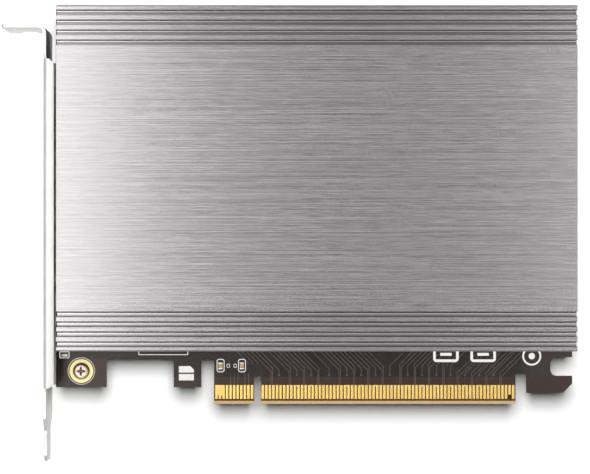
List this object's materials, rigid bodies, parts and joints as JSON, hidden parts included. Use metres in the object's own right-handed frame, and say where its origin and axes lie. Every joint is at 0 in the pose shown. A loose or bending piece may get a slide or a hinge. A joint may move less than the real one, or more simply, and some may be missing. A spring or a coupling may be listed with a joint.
{
  "type": "nvme adapter card",
  "caption": "Expansion card with edge contacts, a steel bracket and a grooved aluminium heat sink over sockets for flat storage modules.",
  "frame": {"origin": "middle of the key notch at the insertion edge, at half the board's thickness", "axes": "+X along the card away from the bracket, +Y from the contacts to the top edge, +Z out of the component side; the card lies on its solder side"},
  "size_m": [0.158, 0.1261, 0.0216],
  "materials": {
    "plated_bracket": "bright plated",
    "gold_plating": "gold plated",
    "plated_screw": "bright plated",
    "yellow_capacitor": "moulded",
    "tinned_terminal": "tinned",
    "dark_board": "satin solder mask",
    "black_chip": "moulded",
    "tan_ceramic": "fired",
    "brushed_aluminium": "brushed along the grooves",
    "black_moulding": "moulded",
    "grey_coil": "moulded",
    "white_lamp": "clear",
    "thermal_pad": "soft"
  },
  "bodies": {
    "root": {"bracket": "plated_bracket", "bracket_hole_plating": "gold_plating", "bracket_screws": "plated_screw", "bulk_capacitor_1": "yellow_capacitor", "bulk_capacitor_2": "yellow_capacitor", "bulk_capacitor_terminals_1": "tinned_terminal", "bulk_capacitor_terminals_2": "tinned_terminal", "circuit_board": "dark_board", "clock_chip": "black_chip", "clock_chip_leads": "tinned_terminal", "coupling_capacitor_terminals": "tinned_terminal", "coupling_capacitors": "tan_ceramic", "edge_contacts_component_side": "gold_plating", "edge_contacts_solder_side": "gold_plating", "filter_capacitor_1": "tan_ceramic", "filter_capacitor_2": "tan_ceramic", "filter_capacitor_terminals_1": "tinned_terminal", "filter_capacitor_terminals_2": "tinned_terminal", "heat_sink": "brushed_aluminium", "heat_sink_screws": "plated_screw", "module_screws": "plated_screw", "module_socket_1": "black_moulding", "module_socket_2": "black_moulding", "module_socket_3": "black_moulding", "module_socket_4": "black_moulding", "module_socket_pins_1": "gold_plating", "module_socket_pins_2": "gold_plating", "module_socket_pins_3": "gold_plating", "module_socket_pins_4": "gold_plating", "module_standoff_1": "plated_screw", "module_standoff_2": "plated_screw", "module_standoff_3": "plated_screw", "module_standoff_4": "plated_screw", "power_coil_1": "grey_coil", "power_coil_2": "grey_coil", "power_coil_3": "grey_coil", "power_coil_4": "grey_coil", "power_coil_terminals": "tinned_terminal", "status_lamp_terminals": "tinned_terminal", "status_lamps": "white_lamp", "thermal_pad_1": "thermal_pad", "thermal_pad_2": "thermal_pad", "thermal_pad_3": "thermal_pad", "thermal_pad_4": "thermal_pad", "voltage_regulator_1": "black_chip", "voltage_regulator_2": "black_chip", "voltage_regulator_3": "black_chip", "voltage_regulator_4": "black_chip"}
  },
  "joints": []
}
